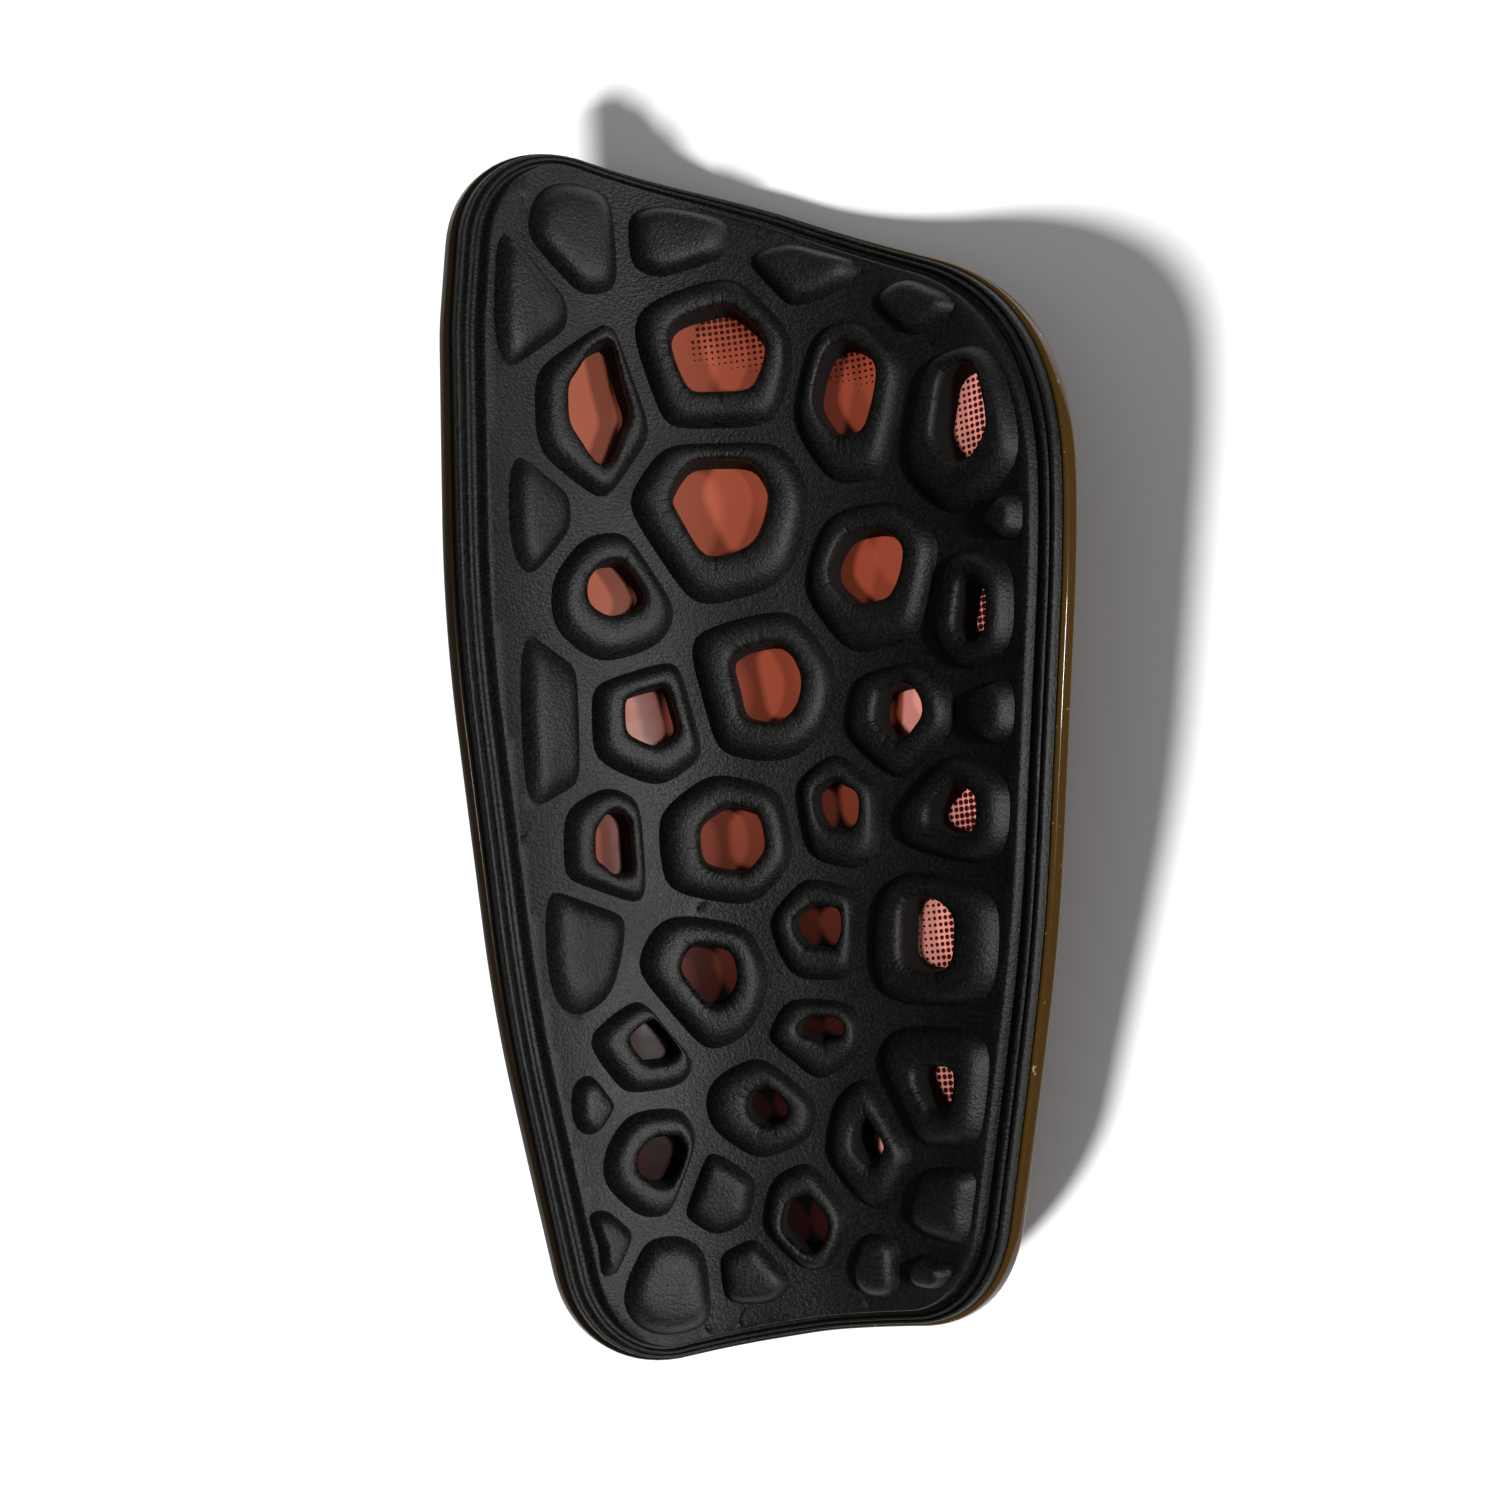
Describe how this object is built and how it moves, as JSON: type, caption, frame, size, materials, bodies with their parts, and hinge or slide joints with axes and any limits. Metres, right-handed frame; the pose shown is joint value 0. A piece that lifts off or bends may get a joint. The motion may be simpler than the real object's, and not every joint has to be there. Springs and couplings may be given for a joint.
{
  "type": "slip-in shin guard",
  "caption": "Curved hard shin guard shell with a moulded foam back of raised ring pads, lying on its front.",
  "frame": {"origin": "under the middle of the guard's box, on the surface that it lies on", "axes": "+Y up the leg to the knee end, +Z from the guard's front to the leg, +X across the leg to the lower shoulder of the knee end"},
  "size_m": [0.0908, 0.1806, 0.0241],
  "materials": {
    "amber_shell": "translucent amber moulded plastic, glossy",
    "black_foam": "compression-moulded closed-cell foam, satin, finely grained"
  },
  "bodies": {
    "root": {"shell": "amber_shell", "foam_back": "black_foam"}
  },
  "joints": []
}
